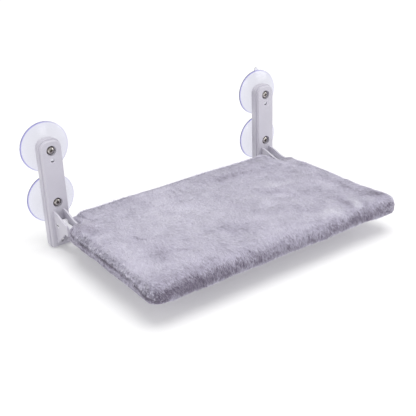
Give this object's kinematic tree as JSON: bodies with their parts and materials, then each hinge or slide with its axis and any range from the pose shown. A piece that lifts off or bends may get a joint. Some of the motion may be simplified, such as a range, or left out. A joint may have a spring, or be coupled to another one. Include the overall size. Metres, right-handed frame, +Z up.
{
  "type": "window-mounted cat perch",
  "caption": "Folding cat perch for a window: a plush-covered rectangular bed on a bent tube frame, hinged to two upright moulded brackets held to the glass by round suction cups.",
  "frame": {"origin": "centre of the four suction cups, on the plane of the window that their rims touch", "axes": "+X along the window to the right as seen from the room, +Y into the window, +Z up"},
  "size_m": [0.5, 0.3235, 0.2075],
  "materials": {
    "bracket_plastic": "satin",
    "clear_cup": "gloss",
    "brass_insert": "satin",
    "bright_screw": "polished",
    "white_plastic": "satin",
    "spring_steel": "satin",
    "coated_tube": "satin",
    "foam": "matte",
    "plush": "matte"
  },
  "bodies": {
    "window_mount": {"left_bracket": "bracket_plastic", "right_bracket": "bracket_plastic", "left_upper_cup": "clear_cup", "left_lower_cup": "clear_cup", "right_upper_cup": "clear_cup", "right_lower_cup": "clear_cup", "left_upper_insert": "brass_insert", "left_lower_insert": "brass_insert", "right_upper_insert": "brass_insert", "right_lower_insert": "brass_insert", "left_upper_screw": "bright_screw", "left_lower_screw": "bright_screw", "right_upper_screw": "bright_screw", "right_lower_screw": "bright_screw", "left_pivot_pin": "white_plastic", "right_pivot_pin": "white_plastic", "left_pin_clip": "spring_steel", "right_pin_clip": "spring_steel"},
    "bed": {"left_knuckle": "white_plastic", "right_knuckle": "white_plastic", "left_knuckle_screw": "bright_screw", "right_knuckle_screw": "bright_screw", "frame_tube": "coated_tube", "cross_tube": "coated_tube", "foam_pad": "foam", "plush_cover": "plush"}
  },
  "joints": [
    {"name": "bed_fold", "type": "hinge", "parent": "window_mount", "child": "bed", "pos_m": [0, -0.036, -0.077], "axis": [-1, 0, 0], "range_deg": [0, 80]}
  ]
}
